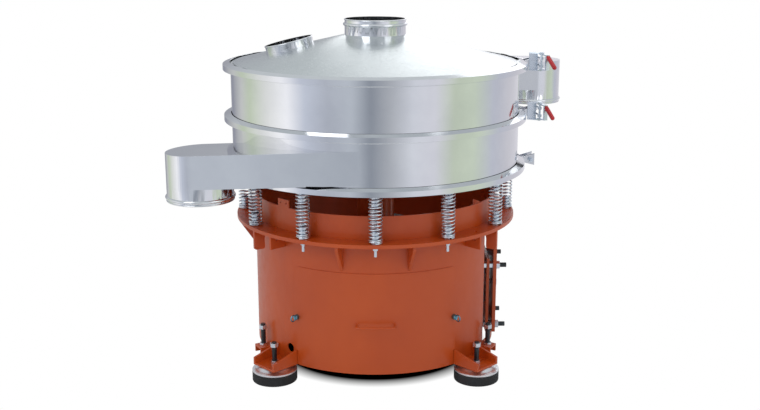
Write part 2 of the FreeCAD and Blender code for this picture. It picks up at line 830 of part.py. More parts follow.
def band_strip(joint):
    """V-section sheet band, open at its closure."""
    def leg(radius):
        return band_half_height + (band_radius - radius) * band_leg_slope
    sheet_drop = band_sheet * math.sqrt(1 + band_leg_slope ** 2)
    inner = band_radius - band_sheet
    profile = [(band_leg_end, leg(band_leg_end)), (band_radius, leg(band_radius)),
               (band_radius, -leg(band_radius)), (band_leg_end, -leg(band_leg_end)),
               (band_leg_end, sheet_drop - leg(band_leg_end)), (inner, sheet_drop - leg(inner)),
               (inner, leg(inner) - sheet_drop), (band_leg_end, leg(band_leg_end) - sheet_drop)]
    strip = revolved(profile, 360.0 - 2 * closure_half_angle())
    strip.rotate(V(0, 0, 0), UP, closure_half_angle())
    return moved(strip, z=joint)


def end_plate(side, joint):
    """Upright trapezoid plate on one end of a band; side -1 is the front end."""
    root = band_radius - band_sheet
    tip = band_radius + end_plate_reach
    plate = radial_plate([(root, -end_plate_root), (tip, -end_plate_end), (tip, end_plate_end),
                          (root, end_plate_root)], end_plate_thickness)
    return moved(plate, y=side * (closure_gap / 2 + end_plate_thickness / 2), z=joint)


def rear_gusset(joint):
    """Tapering stiffener that runs along the band behind its rear end plate."""
    near = closure_gap / 2 + end_plate_thickness
    far = near + gusset_run
    tip = band_radius + end_plate_reach * 0.75
    wedge = level_plate([(band_radius - band_sheet, near), (tip, near), (band_radius - 6.0, far),
                         (band_radius - 12.0, far)], joint - band_half_height, 2 * band_half_height)
    return wedge.cut(disc(band_radius - band_sheet / 2, joint - 20, joint + 20))


def catch_plate(joint):
    """Nose on the rear end plate that the latch's hook pulls against."""
    tip = band_radius + end_plate_reach
    return box(tip - 2.0, tip + catch_reach, closure_gap / 2, closure_gap / 2 + end_plate_thickness,
               joint + latch_lift - catch_half_height, joint + latch_lift + catch_half_height)


def latch_pivot(joint):
    return V(band_radius + latch_pivot_out, -closure_gap / 2 - end_plate_thickness - latch_pivot_front,
             joint + latch_lift)


def latch_bracket(joint):
    """Two cheeks that carry the lever's pins, on a foot bolted to the front end plate."""
    pivot = latch_pivot(joint)
    face = -closure_gap / 2 - end_plate_thickness
    low = pivot.z - latch_half_height
    high = pivot.z + latch_half_height
    foot_thickness = 5.0
    inner = band_radius + 14.0
    slot_at = pivot.x - hook_rod_radius - 6.0
    foot = box(inner, slot_at, face - foot_thickness, face, low, high)
    cheeks = []
    for bottom in (low, high - latch_cheek):
        plan = [(inner, face), (inner, face - foot_thickness), (pivot.x - latch_cheek_radius, pivot.y),
                (pivot.x, pivot.y - latch_cheek_radius), (pivot.x + latch_cheek_radius, pivot.y),
                (pivot.x + latch_cheek_radius, face)]
        cheeks.append(level_plate(plan, bottom, latch_cheek))
    holes = disc(latch_pin_radius + running_clearance, low - 1, high + 1, pivot.x, pivot.y)
    return foot.fuse(cheeks).removeSplitter().cut(holes)


def clamp_band(joint, latched):
    parts = [end_plate(-1, joint), end_plate(1, joint)]
    if latched:
        parts += [rear_gusset(joint), catch_plate(joint)]
    whole = band_strip(joint).fuse(parts).removeSplitter()
    if not latched:
        whole = whole.cut(rod(clamp_bolt_radius, V(band_radius + clamp_lug_reach, -closure_gap, joint),
                              V(band_radius + clamp_lug_reach, closure_gap, joint)))
    return at_azimuth(whole, closure_azimuth)


def latch_lever(joint):
    """Two side plates on stub pins, joined by a bridge, with the hook's cross pin between them."""
    pivot = latch_pivot(joint)
    low = -lever_half_height
    high = lever_half_height
    plan = [(0.0, -lever_half_width), (lever_length, -lever_half_width), (lever_length, lever_half_width),
            (0.0, lever_half_width)]
    sides = []
    for bottom in (low, high - lever_plate):
        plate = level_plate(plan, bottom, lever_plate)
        nose = disc(lever_half_width, bottom, bottom + lever_plate)
        crank = disc(hook_pin_radius + 4.0, bottom, bottom + lever_plate, latch_throw, 0.0)
        sides.append(plate.fuse([nose, crank]))
    bridge = box(lever_length - lever_bridge, lever_length, -lever_half_width, lever_half_width, low, high)
    lever = sides[0].fuse([sides[1], bridge])
    stubs = [disc(latch_pin_radius, low - latch_cheek - 2.5, low), disc(latch_pin_radius, high, high + latch_cheek + 2.5)]
    pin_angle = math.radians(lever_closed_angle + latch_over_centre)
    pin_at = V(latch_throw * math.cos(pin_angle), -latch_throw * math.sin(pin_angle), 0)
    cross_pin = disc(hook_pin_radius, low, high, pin_at.x, pin_at.y)
    lever = lever.fuse(stubs + [cross_pin]).removeSplitter()
    lever.rotate(V(0, 0, 0), UP, lever_closed_angle - 90.0)
    return lever, pivot


def lever_solid(joint):
    lever, pivot = latch_lever(joint)
    lever.translate(pivot)
    return at_azimuth(lever, closure_azimuth)


def latch_grip(joint):
    """Hand grip that slopes out and down from the lever's upper plate."""
    pivot = latch_pivot(joint)
    dip = math.radians(grip_dip)
    start = V(lever_length, 0, lever_half_height - grip_radius)
    end = start + V(grip_length * math.cos(dip), 0, -grip_length * math.sin(dip))
    grip = rod(grip_radius, start, end)
    rounded = Part.makeSphere(grip_radius, end)
    grip = grip.fuse(rounded).removeSplitter()
    lever_zone = box(-lever_half_width, lever_length, -4 * grip_radius, 4 * grip_radius, -100, 100)
    grip = grip.cut(lever_zone)
    grip.rotate(V(0, 0, 0), UP, lever_closed_angle - 90.0)
    grip.translate(pivot)
    return at_azimuth(grip, closure_azimuth)


def latch_hook(joint):
    """U-shaped rod from the lever's cross pin round the catch on the rear plate."""
    pivot = latch_pivot(joint)
    swing = math.radians(latch_over_centre)
    pin_x = pivot.x - latch_throw * math.sin(swing)
    pin_y = pivot.y - latch_throw * math.cos(swing)
    bar_y = closure_gap / 2 + end_plate_thickness + hook_rod_radius + seat_gap
    corners = [V(pin_x, pin_y, pivot.z + hook_half_height), V(pin_x, bar_y, pivot.z + hook_half_height),
               V(pin_x, bar_y, pivot.z - hook_half_height), V(pin_x, pin_y, pivot.z - hook_half_height)]
    rods = bent_rod(hook_rod_radius, corners, hook_bend)
    eyes = [disc(hook_eye_radius, level - hook_eye_half, level + hook_eye_half, pin_x, pin_y)
            for level in (pivot.z - hook_half_height, pivot.z + hook_half_height)]
    hook = rods.fuse(eyes).removeSplitter()
    bore = disc(hook_pin_radius + running_clearance, pivot.z - 2 * hook_half_height,
                pivot.z + 2 * hook_half_height, pin_x, pin_y)
    return at_azimuth(hook.cut(bore), closure_azimuth)


def bottom_band_bolt():
    """Bolt and nut that close the lowest band."""
    reach = closure_gap / 2 + end_plate_thickness
    out = band_radius + clamp_lug_reach
    shank = rod(clamp_bolt_radius, V(out, -reach - 22.0, band_joint), V(out, reach + 30.0, band_joint))
    nut = hex_nut(spring_nut_across_flats, clamp_bolt_radius, spring_nut_height)
    nut.rotate(V(0, 0, 0), V(1, 0, 0), -90.0)
    rear_nut = moved(nut, x=out, y=reach, z=band_joint)
    front_nut = moved(nut, x=out, y=-reach - spring_nut_height, z=band_joint)
    return [at_azimuth(piece, closure_azimuth) for piece in (shank, rear_nut, front_nut)]


# Spindle and weights

def spindle_housing():
    flange_top = table_underside() - table_rib_root_depth
    body = disc(housing_radius, housing_bottom, housing_top)
    flange = disc(housing_flange_radius, flange_top - housing_flange_thickness, flange_top)
    bores = [disc(housing_bore, housing_bottom - 1, housing_top + 1),
             disc(bearing_outer_radius, housing_bottom - 1, housing_bottom + bearing_width),
             disc(bearing_outer_radius, housing_top - bearing_width, housing_top + 1)]
    return body.fuse(flange).removeSplitter().cut(bores)


def spindle_bearings():
    bore = spindle_radius + running_clearance
    return [ring(bore, bearing_outer_radius, housing_bottom, housing_bottom + bearing_width),
            ring(bore, bearing_outer_radius, housing_top - bearing_width, housing_top)]


def spindle_shaft():
    return disc(spindle_radius, pulley_level - 8.0, spindle_top)


def eccentric_weight(level, azimuth):
    """Sector-shaped flywheel weight clamped on the spindle."""
    hub = disc(weight_hub_radius, level, level + weight_thickness)
    lobe = sector(weight_hub_radius - 10.0, weight_radius, level, level + weight_thickness, azimuth, weight_half_angle)
    return hub.fuse(lobe).removeSplitter().cut(disc(spindle_radius, level - 1, level + weight_thickness + 1))


def belt_levels():
    middle = pulley_level + pulley_width / 2
    first = middle - (belt_count - 1) * belt_spacing / 2
    return [first + index * belt_spacing for index in range(belt_count)]


def grooved_pulley(bore):
    """V-groove pulley about the origin's axis."""
    top = pulley_level + pulley_width
    wheel = ring(bore, pulley_radius, pulley_level, top)
    grooves = []
    depth = belt_depth + 3.0 - belt_stand_out
    half_top = belt_top_width / 2 + seat_gap
    half_bottom = belt_bottom_width / 2 + seat_gap - 0.6
    for level in belt_levels():
        grooves.append(revolved([(pulley_radius - depth, level - half_bottom), (pulley_radius + 1, level - half_top - 0.4),
                                 (pulley_radius + 1, level + half_top + 0.4), (pulley_radius - depth, level + half_bottom)]))
    return wheel.cut(grooves)


def belt_loop(level):
    """One V-belt round both pulleys."""
    outer = pulley_radius + belt_stand_out
    inner = outer - belt_depth
    half_top = belt_top_width / 2
    half_bottom = belt_bottom_width / 2
    section = [(inner, level - half_bottom), (outer, level - half_top), (outer, level + half_top),
               (inner, level + half_bottom)]
    face = polygon_face([V(0, r, z) for r, z in section])
    near = polygon_face([V(0, r, z) for r, z in section]).revolve(V(0, 0, 0), UP, 180.0)
    far = face.revolve(V(0, 0, 0), UP, -180.0)
    far.translate(V(motor_axis, 0, 0))
    run = face.extrude(V(motor_axis, 0, 0))
    other = polygon_face([V(0, -r, z) for r, z in section]).extrude(V(motor_axis, 0, 0))
    return near.fuse([far, run, other]).removeSplitter()


def drive_belts():
    return [belt_loop(level) for level in belt_levels()]


# Motor and its mount

def drive_motor():
    frame_low = motor_bottom + motor_fan_cover_height
    body = disc(motor_radius, frame_low, motor_top - motor_shield_height, motor_axis)
    fins = []
    for index in range(motor_fin_count):
        angle = index * 360.0 / motor_fin_count
        groove = box(motor_radius - motor_fin_depth, motor_radius + 1, -motor_fin_width, motor_fin_width,
                     frame_low + motor_shield_height, motor_top - 2 * motor_shield_height)
        groove.rotate(V(0, 0, 0), UP, angle)
        fins.append(moved(groove, x=motor_axis))
    body = body.cut(fins)
    shield = disc(motor_shield_radius, motor_top - motor_shield_height, motor_top, motor_axis)
    fan_cover = disc(motor_radius - 2, motor_bottom, frame_low, motor_axis)
    feet = []
    for level in (frame_low + motor_shield_height, motor_top - 2 * motor_shield_height - motor_foot_height):
        feet.append(box(motor_axis + motor_radius * 0.55, carrier_face, -motor_foot_half_width, motor_foot_half_width,
                        level, level + motor_foot_height))
    terminal_box = box(motor_axis - 48.0, motor_axis + 48.0, motor_radius * 0.9, motor_radius + 42.0,
                       (motor_bottom + motor_top) / 2 - 40.0, (motor_bottom + motor_top) / 2 + 50.0)
    motor = body.fuse([shield, fan_cover, terminal_box] + feet).removeSplitter()
    bore = disc(motor_shaft_radius + running_clearance, motor_top - 60.0, motor_top + 1, motor_axis)
    return motor.cut(bore)


def motor_shaft():
    return disc(motor_shaft_radius, motor_top - 58.0, pulley_level + pulley_width, motor_axis)


def motor_carrier():
    """Plate that the motor's feet are bolted to, held off the tension plate by its studs."""
    plate = box(carrier_face, carrier_face + carrier_thickness, -carrier_half_width, carrier_half_width,
                carrier_bottom, carrier_top)
    holes = [rod(stud_radius, V(carrier_face - 1, y, z), V(carrier_face + carrier_thickness + 1, y, z))
             for y, z in tension_stud_places()]
    return plate.cut(holes)


def tension_stud_places():
    return [(y, z) for z in tension_stud_levels for y in (-tension_stud_offset, tension_stud_offset)]


def tension_plate():
    face = tension_plate_face
    plate = box(face, face + tension_plate_thickness, -tension_plate_half_width, tension_plate_half_width,
                window_bottom, window_top)
    holes = [rod(stud_radius, V(face - 1, y, z), V(face + tension_plate_thickness + 1, y, z))
             for y, z in tension_stud_places()]
    holes.append(rod(jack_radius, V(face - 1, 0, jack_level), V(face + tension_plate_thickness + 1, 0, jack_level)))
    return plate.cut(holes)


def tension_studs():
    outer = tension_plate_face + tension_plate_thickness + tension_stud_end
    return [rod(stud_radius, V(tension_stud_inner, y, z), V(outer, y, z)) for y, z in tension_stud_places()]


def sideways_nut(across_flats, bore, height, x, y, z):
    nut = hex_nut(across_flats, bore, height)
    nut.rotate(V(0, 0, 0), V(0, 1, 0), 90.0)
    return moved(nut, x=x, y=y, z=z)


def tension_nuts():
    outer_face = tension_plate_face + tension_plate_thickness
    nuts = []
    for y, z in tension_stud_places():
        nuts.append(sideways_nut(nut_across_flats, stud_radius, tension_nut_height, outer_face, y, z))
        nuts.append(sideways_nut(nut_across_flats, stud_radius, tension_plate_face - carrier_face - carrier_thickness,
                                 carrier_face + carrier_thickness, y, z))
        nuts.append(sideways_nut(nut_across_flats, stud_radius, tension_nut_height,
                                 carrier_face - tension_nut_height, y, z))
    return nuts


def jack_bolt():
    """Hexagon bolt through the tension plate that pushes the carrier."""
    outer_face = tension_plate_face + tension_plate_thickness
    corner = jack_across_flats / math.sqrt(3.0)
    corners = [(corner * math.cos(k * math.pi / 3), corner * math.sin(k * math.pi / 3)) for k in range(6)]
    head = level_plate(corners, 0.0, jack_head)
    head.rotate(V(0, 0, 0), V(0, 1, 0), 90.0)
    head = moved(head, x=outer_face, z=jack_level)
    shank = rod(jack_radius, V(carrier_face + carrier_thickness, 0, jack_level), V(outer_face, 0, jack_level))
    return head.fuse(shank).removeSplitter()


def pieces():
    """Every node of the part with its solids."""
    lower = (lower_duct_length, lower_duct_top, lower_duct_slope, lower_duct_place)
    upper = (upper_duct_length, upper_duct_top, upper_duct_slope, upper_duct_place)
    nodes = {
        "base_shell": base_shell(),
        "base_flange": base_flange(),
        "flange_gussets": flange_gussets(),
        "flange_stub_plates": flange_stub_plates(),
        "lifting_lugs": lifting_lugs(),
        "lock_tab": lock_tab(),
        "foot_brackets": foot_brackets(),
        "foot_pads": foot_pads(),
        "foot_dishes": foot_dishes(),
        "lock_brackets": lock_brackets(),
        "clamping_studs": standing_studs() + tension_studs(),
        "clamping_nuts": standing_nuts() + tension_nuts(),
        "access_door": access_door(),
        "door_handle": door_handle(),
        "eye_screw_left": eye_screw(-1),
        "eye_screw_right": eye_screw(1),
        "tension_plate": tension_plate(),
        "jack_bolt": jack_bolt(),
        "motor_carrier": motor_carrier(),
        "drive_motor": drive_motor(),
        "motor_shaft": motor_shaft(),
        "motor_pulley": moved(grooved_pulley(motor_shaft_radius), x=motor_axis),
        "drive_belts": drive_belts(),
        "lower_spring_seats": lower_spring_seats(),
        "spring_fasteners": spring_fasteners(),
        "support_springs": support_springs(),
        "upper_spring_seats": upper_spring_seats(),
        "table_frame": table_frame(),
        "spindle_housing": spindle_housing(),
        "spindle_bearings": spindle_bearings(),
        "spindle_shaft": spindle_shaft(),
        "top_weight": eccentric_weight(top_weight_level, 0.0),
        "bottom_weight": eccentric_weight(bottom_weight_level, weight_lead_angle),
        "spindle_pulley": grooved_pulley(spindle_radius),
        "bottom_gasket": joint_gasket(band_joint),
        "dome_pan": dome_pan(),
        "lower_frame": lower_frame(),
        "lower_duct": duct_shell(*lower),
        "lower_spout": duct_spout(*lower),
        "screen_gasket": joint_gasket(screen_joint),
        "screen_ring": screen_ring(),
        "screen_mesh": screen_mesh(),
        "upper_frame": upper_frame(),
        "upper_duct": duct_shell(*upper),
        "upper_spout": duct_spout(*upper),
        "cover_gasket": joint_gasket(cover_joint),
        "cover_cone": cover_cone(),
        "inlet_spout": inlet_spout(),
        "inspection_port": inspection_port(),
        "top_band": clamp_band(cover_joint, True),
        "middle_band": clamp_band(screen_joint, True),
        "bottom_band": clamp_band(band_joint, False),
        "bottom_band_bolt": bottom_band_bolt(),
        "latch_brackets": [at_azimuth(latch_bracket(joint), closure_azimuth) for joint in (cover_joint, screen_joint)],
        "top_lever": lever_solid(cover_joint),
        "top_grip": latch_grip(cover_joint),
        "top_hook": latch_hook(cover_joint),
        "middle_lever": lever_solid(screen_joint),
        "middle_grip": latch_grip(screen_joint),
        "middle_hook": latch_hook(screen_joint),
    }
    return nodes


for name, solids in pieces().items():
    shape = Part.makeCompound(solids) if isinstance(solids, list) else solids
    shape.exportStep("parts/" + name + ".step")
    print(name, len(shape.Solids), "solids", round(shape.Volume / 1000.0, 1), "cm3", shape.isValid())
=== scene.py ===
import json
import math
import bmesh
import bpy
from mathutils import Matrix, Vector


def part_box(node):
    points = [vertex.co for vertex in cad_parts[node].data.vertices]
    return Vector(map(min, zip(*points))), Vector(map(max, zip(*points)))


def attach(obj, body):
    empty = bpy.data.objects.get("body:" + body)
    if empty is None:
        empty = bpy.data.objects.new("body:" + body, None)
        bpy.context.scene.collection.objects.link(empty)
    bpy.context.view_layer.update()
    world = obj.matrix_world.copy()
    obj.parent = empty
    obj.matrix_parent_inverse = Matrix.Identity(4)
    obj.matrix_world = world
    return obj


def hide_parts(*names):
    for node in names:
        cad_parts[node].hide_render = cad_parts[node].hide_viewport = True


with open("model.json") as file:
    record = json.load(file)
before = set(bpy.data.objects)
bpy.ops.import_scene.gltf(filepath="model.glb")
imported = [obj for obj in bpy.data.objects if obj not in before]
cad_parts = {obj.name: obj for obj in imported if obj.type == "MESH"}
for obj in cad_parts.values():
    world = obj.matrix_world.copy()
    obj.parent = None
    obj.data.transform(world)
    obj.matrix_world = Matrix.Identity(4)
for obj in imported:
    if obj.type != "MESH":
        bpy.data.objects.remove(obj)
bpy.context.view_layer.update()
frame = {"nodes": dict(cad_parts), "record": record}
collection = bpy.context.scene.collection
print("frame loaded:", len(frame["nodes"]), "nodes")


def finishMesh(bm, name, material, sharpAngle):
    mesh = bpy.data.meshes.new(name)
    bm.to_mesh(mesh)
    bm.free()
    mesh.shade_smooth()
    mesh.set_sharp_from_angle(angle=math.radians(sharpAngle))
    mesh.materials.append(material)
    piece = bpy.data.objects.new(name, mesh)
    collection.objects.link(piece)
    return piece


def standFor(piece, node):
    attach(piece, bodyOf[node])
    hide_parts(node)
    return piece


weldValues = {"mergeDistance": 1e-5, "flatAngle": 0.5, "sharpAngle": 25.0, "bevelAngle": 35.0, "bevelSegments": 2}


def weldedCopy(name, node, material, edgeWidth):
    # merged copy of a CAD node with broken edges, standing for that node
    bm = bmesh.new()
    bm.from_mesh(frame["nodes"][node].data)
    bmesh.ops.remove_doubles(bm, verts=bm.verts, dist=weldValues["mergeDistance"])
    bmesh.ops.dissolve_limit(bm, angle_limit=math.radians(weldValues["flatAngle"]), verts=bm.verts, edges=bm.edges)
    piece = finishMesh(bm, name, material, weldValues["sharpAngle"])
    if edgeWidth:
        bevel = piece.modifiers.new("brokenEdges", "BEVEL")
        bevel.width = edgeWidth
        bevel.segments = weldValues["bevelSegments"]
        bevel.limit_method = "ANGLE"
        bevel.angle_limit = math.radians(weldValues["bevelAngle"])
        bevel.harden_normals = True
    return standFor(piece, node)


bodyOf = {node: body for body, nodes in frame["record"]["behaviour"]["bodies"].items() for node in nodes}
slotOf = {part["node"]: part["material_slot"] for part in frame["record"]["subparts"]}


def startMaterial(name):
    material = bpy.data.materials.new(name)
    material.use_nodes = True
    tree = material.node_tree
    shader = tree.nodes["Principled BSDF"]
    coords = tree.nodes.new("ShaderNodeTexCoord")
    return material, tree, shader, coords


noiseValues = {"detail": 4.0, "roughness": 0.55, "span": (0.3, 0.7)}


def mappedNoise(tree, coords, stretch, scale, detail=noiseValues["detail"]):
    mapping = tree.nodes.new("ShaderNodeMapping")
    mapping.inputs["Scale"].default_value = stretch
    tree.links.new(coords.outputs["Object"], mapping.inputs["Vector"])
    noise = tree.nodes.new("ShaderNodeTexNoise")
    noise.inputs["Scale"].default_value = scale
    noise.inputs["Detail"].default_value = detail
    noise.inputs["Roughness"].default_value = noiseValues["roughness"]
    tree.links.new(mapping.outputs["Vector"], noise.inputs["Vector"])
    return noise.outputs["Fac"]


def remap(tree, value, low, high, span=noiseValues["span"]):
    node = tree.nodes.new("ShaderNodeMapRange")
    node.inputs["From Min"].default_value = span[0]
    node.inputs["From Max"].default_value = span[1]
    node.inputs["To Min"].default_value = low
    node.inputs["To Max"].default_value = high
    tree.links.new(value, node.inputs["Value"])
    return node.outputs["Result"]


def blendColours(tree, value, first, second):
    mix = tree.nodes.new("ShaderNodeMix")
    mix.data_type = "RGBA"
    mix.inputs["A"].default_value = (*first, 1)
    mix.inputs["B"].default_value = (*second, 1)
    tree.links.new(value, mix.inputs["Factor"])
    return mix.outputs["Result"]


def bumpFrom(tree, value, strength, distance, shader):
    bump = tree.nodes.new("ShaderNodeBump")
    bump.inputs["Strength"].default_value = strength
    bump.inputs["Distance"].default_value = distance
    tree.links.new(value, bump.inputs["Height"])
    tree.links.new(bump.outputs["Normal"], shader.inputs["Normal"])


orangePaint = {"colour": (0.60, 0.086, 0.006), "shade": (0.50, 0.062, 0.004), "roughness": (0.34, 0.46),
               "coat": 0.18, "coatRoughness": 0.12,
               "patchStretch": (1, 1, 0.6),
               "patchScale": 3.0, "sheenScale": 24.0, "peelScale": 420.0, "peelDetail": 2.0,
               "peelStrength": 0.25, "peelDepth": 0.00010}


def makeOrangePaint():
    values = orangePaint
    material, tree, shader, coords = startMaterial("orangePaint")
    patches = mappedNoise(tree, coords, values["patchStretch"], values["patchScale"])
    tree.links.new(blendColours(tree, remap(tree, patches, 0, 1), values["colour"], values["shade"]),
                   shader.inputs["Base Color"])
    rough = mappedNoise(tree, coords, (1, 1, 1), values["sheenScale"])
    tree.links.new(remap(tree, rough, *values["roughness"]), shader.inputs["Roughness"])
    shader.inputs["Coat Weight"].default_value = values["coat"]
    shader.inputs["Coat Roughness"].default_value = values["coatRoughness"]
    peel = mappedNoise(tree, coords, (1, 1, 1), values["peelScale"], values["peelDetail"])
    bumpFrom(tree, peel, values["peelStrength"], values["peelDepth"], shader)
    return material


steelFinishes = {
    "polishedSteel": {"bright": (0.82, 0.83, 0.85), "dull": (0.74, 0.75, 0.78), "roughness": (0.07, 0.12),
                      "stretch": (1, 1, 0.04), "grain": 260.0, "grainDepth": 0.00002},
    "coneSteel": {"bright": (0.70, 0.73, 0.74), "dull": (0.64, 0.67, 0.68), "roughness": (0.20, 0.28),
                  "stretch": (1, 1, 1), "grain": 90.0, "grainDepth": 0.00003},
    "zincPlate": {"bright": (0.80, 0.85, 0.92), "dull": (0.60, 0.66, 0.74), "roughness": (0.18, 0.34),
                  "stretch": (1, 1, 1), "grain": 160.0, "grainDepth": 0.00004},
    "springWire": {"bright": (0.84, 0.88, 0.94), "dull": (0.62, 0.67, 0.74), "roughness": (0.16, 0.30),
                   "stretch": (1, 1, 1), "grain": 220.0, "grainDepth": 0.00004},
    "blueZinc": {"bright": (0.20, 0.44, 0.56), "dull": (0.06, 0.12, 0.16), "roughness": (0.16, 0.3),
                 "stretch": (1, 1, 1), "grain": 120.0, "grainDepth": 0.00003},
    "groundSteel": {"bright": (0.66, 0.67, 0.69), "dull": (0.5, 0.51, 0.53), "roughness": (0.2, 0.32),
                    "stretch": (1, 1, 0.1), "grain": 300.0, "grainDepth": 0.00003},
    "dishMetal": {"bright": (0.90, 0.91, 0.94), "dull": (0.80, 0.80, 0.84), "roughness": (0.30, 0.42),
                  "stretch": (1, 1, 1), "grain": 140.0, "grainDepth": 0.00004},
}


steelSurface = {"grainDetail": 3.0, "grainStrength": 0.2, "cloudScale": 6.0}


def makeSteel(name):
    values = steelFinishes[name]
    material, tree, shader, coords = startMaterial(name)
    shader.inputs["Metallic"].default_value = 1.0
    grain = mappedNoise(tree, coords, values["stretch"], values["grain"], steelSurface["grainDetail"])
    cloud = mappedNoise(tree, coords, (1, 1, 1), steelSurface["cloudScale"])
    tree.links.new(blendColours(tree, remap(tree, cloud, 0, 1), values["bright"], values["dull"]),
                   shader.inputs["Base Color"])
    tree.links.new(remap(tree, grain, *values["roughness"]), shader.inputs["Roughness"])
    bumpFrom(tree, grain, steelSurface["grainStrength"], values["grainDepth"], shader)
    return material


dielectricFinishes = {
    "blackRubber": {"light": (0.020, 0.021, 0.024), "dark": (0.008, 0.008, 0.009), "roughness": (0.55, 0.75),
                    "grain": 200.0, "depth": 0.0003, "coat": 0.0},
    "beltRubber": {"light": (0.030, 0.030, 0.031), "dark": (0.012, 0.012, 0.012), "roughness": (0.6, 0.8),
                   "grain": 500.0, "depth": 0.0003, "coat": 0.0},
    "sealRubber": {"light": (0.78, 0.79, 0.79), "dark": (0.66, 0.67, 0.67), "roughness": (0.4, 0.55),
                   "grain": 90.0, "depth": 0.0002, "coat": 0.0},
    "redGrip": {"light": (0.62, 0.010, 0.016), "dark": (0.42, 0.006, 0.010), "roughness": (0.22, 0.32),
                "grain": 60.0, "depth": 0.0002, "coat": 0.3},
    "motorEnamel": {"light": (0.32, 0.34, 0.38), "dark": (0.24, 0.25, 0.29), "roughness": (0.35, 0.5),
                    "grain": 180.0, "depth": 0.0004, "coat": 0.1},
    "blackOxide": {"light": (0.016, 0.026, 0.034), "dark": (0.004, 0.006, 0.008), "roughness": (0.28, 0.42),
                   "grain": 300.0, "depth": 0.0002, "coat": 0.2},
}


dielectricSurface = {"grainDetail": 3.0, "grainStrength": 0.35, "cloudScale": 14.0}


def makeDielectric(name):
    values = dielectricFinishes[name]
    material, tree, shader, coords = startMaterial(name)
    cloud = mappedNoise(tree, coords, (1, 1, 1), dielectricSurface["cloudScale"])
    tree.links.new(blendColours(tree, remap(tree, cloud, 0, 1), values["light"], values["dark"]),
                   shader.inputs["Base Color"])
    grain = mappedNoise(tree, coords, (1, 1, 1), values["grain"], dielectricSurface["grainDetail"])
    tree.links.new(remap(tree, grain, *values["roughness"]), shader.inputs["Roughness"])
    shader.inputs["Coat Weight"].default_value = values["coat"]
    bumpFrom(tree, grain, dielectricSurface["grainStrength"], values["depth"], shader)
    return material


castFinish = {"light": (0.20, 0.21, 0.22), "dark": (0.12, 0.125, 0.13), "roughness": (0.38, 0.6), "metallic": 0.85,
              "cloudScale": 30.0, "cloudDetail": 8.0, "pitScale": 350.0, "pitStrength": 0.4, "pitDepth": 0.0004}


def makeCastIron():
    values = castFinish
    material, tree, shader, coords = startMaterial("castIron")
    shader.inputs["Metallic"].default_value = values["metallic"]
    cloud = mappedNoise(tree, coords, (1, 1, 1), values["cloudScale"], values["cloudDetail"])
    tree.links.new(blendColours(tree, remap(tree, cloud, 0, 1), values["light"], values["dark"]),
                   shader.inputs["Base Color"])
    tree.links.new(remap(tree, cloud, *values["roughness"]), shader.inputs["Roughness"])
    pits = mappedNoise(tree, coords, (1, 1, 1), values["pitScale"])
    bumpFrom(tree, pits, values["pitStrength"], values["pitDepth"], shader)
    return material


clothFinish = {"wireColour": (0.62, 0.63, 0.65), "gapColour": (0.10, 0.10, 0.11), "roughness": 0.35,
               "wavesPerMetre": 250.0, "waveUnit": 20.0, "wireEdge": (0.6, 0.9),
               "wireStrength": 0.5, "wireDepth": 0.0005}


def makeWovenCloth():
    values = clothFinish
    # two crossed wave patterns, one wire each way
    material, tree, shader, coords = startMaterial("wovenCloth")
    shader.inputs["Metallic"].default_value = 1.0
    shader.inputs["Roughness"].default_value = values["roughness"]
    waves = []
    for direction in ("X", "Y"):
        wave = tree.nodes.new("ShaderNodeTexWave")
        wave.bands_direction = direction
        wave.inputs["Scale"].default_value = values["wavesPerMetre"] * 2 * math.pi / values["waveUnit"]
        tree.links.new(coords.outputs["Object"], wave.inputs["Vector"])
        waves.append(wave.outputs["Fac"])
    larger = tree.nodes.new("ShaderNodeMath")
    larger.operation = "MAXIMUM"
    tree.links.new(waves[0], larger.inputs[0])
    tree.links.new(waves[1], larger.inputs[1])
    wires = remap(tree, larger.outputs[0], 0, 1, values["wireEdge"])
    weave = blendColours(tree, wires, values["gapColour"], values["wireColour"])
    tree.links.new(weave, shader.inputs["Base Color"])
    bumpFrom(tree, larger.outputs[0], values["wireStrength"], values["wireDepth"], shader)
    return material


finishes = {
    "orange_paint": makeOrangePaint(), "polished_steel": makeSteel("polishedSteel"),
    "black_rubber": makeDielectric("blackRubber"), "bright_dish": makeSteel("dishMetal"),
    "black_oxide": makeDielectric("blackOxide"), "zinc": makeSteel("zincPlate"),
    "blue_zinc": makeSteel("blueZinc"), "spring_wire": makeSteel("springWire"),
    "ground_steel": makeSteel("groundSteel"), "cast_iron": makeCastIron(),
    "motor_grey": makeDielectric("motorEnamel"), "belt_rubber": makeDielectric("beltRubber"),
    "seal_rubber": makeDielectric("sealRubber"), "woven_steel": makeWovenCloth(),
    "red_grip": makeDielectric("redGrip"),
}
coneSteel = makeSteel("coneSteel")
for node, piece in frame["nodes"].items():
    for slot in piece.material_slots:
        slot.material = finishes[slotOf[node]]
print("finishes made:", len(finishes) + 1)


# helical springs with closed ends
springValues = {"count": 12, "wire": 0.006, "outerRadius": 0.0285, "closedTurns": 2.0, "activeTurns": 11.5,
                "stepsPerTurn": 18, "wireSides": 10, "circleRadius": 0.560, "closedGap": 0.0003,
                "sharpAngle": 60.0}


